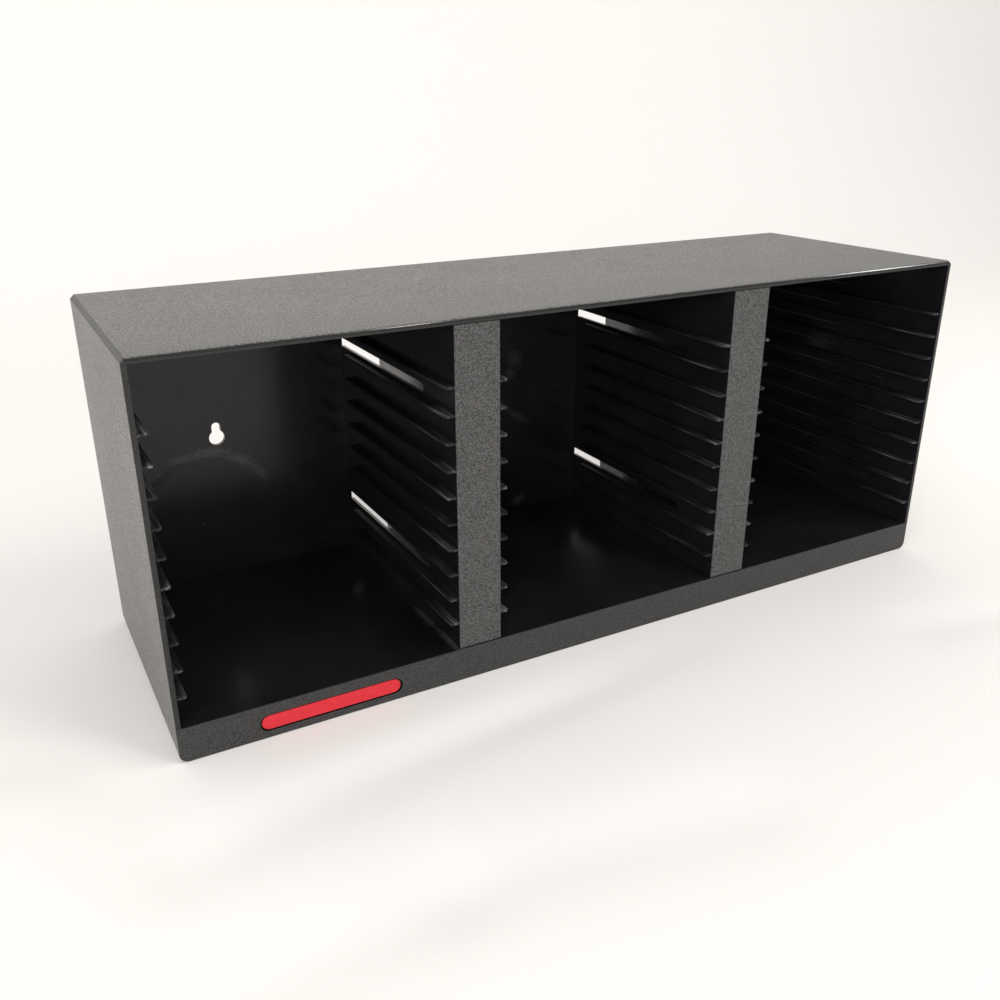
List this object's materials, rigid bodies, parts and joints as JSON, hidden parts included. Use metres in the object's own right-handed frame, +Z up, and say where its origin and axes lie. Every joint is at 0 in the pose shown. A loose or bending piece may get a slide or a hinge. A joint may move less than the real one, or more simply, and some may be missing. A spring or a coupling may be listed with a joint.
{
  "type": "cd rack",
  "caption": "Open-fronted black plastic rack with side-by-side bays; rails on the walls and on hollow dividers hold disc cases flat, above a plinth with a front lip and a red badge",
  "frame": {"origin": "centre of the footprint, on the plane it stands on", "axes": "+X to the right seen from the open front, the open front faces -Y, +Z up"},
  "size_m": [0.4316, 0.1376, 0.172],
  "materials": {
    "black_case": "moulded polystyrene, fine spark texture outside, semi-gloss inside",
    "black_divider": "moulded polystyrene, fine spark texture on the front, semi-gloss on the sides",
    "red_badge": "smooth moulded insert, no lettering"
  },
  "bodies": {
    "root": {"case_shell": "black_case", "left_divider": "black_divider", "right_divider": "black_divider", "badge": "red_badge"}
  },
  "joints": []
}
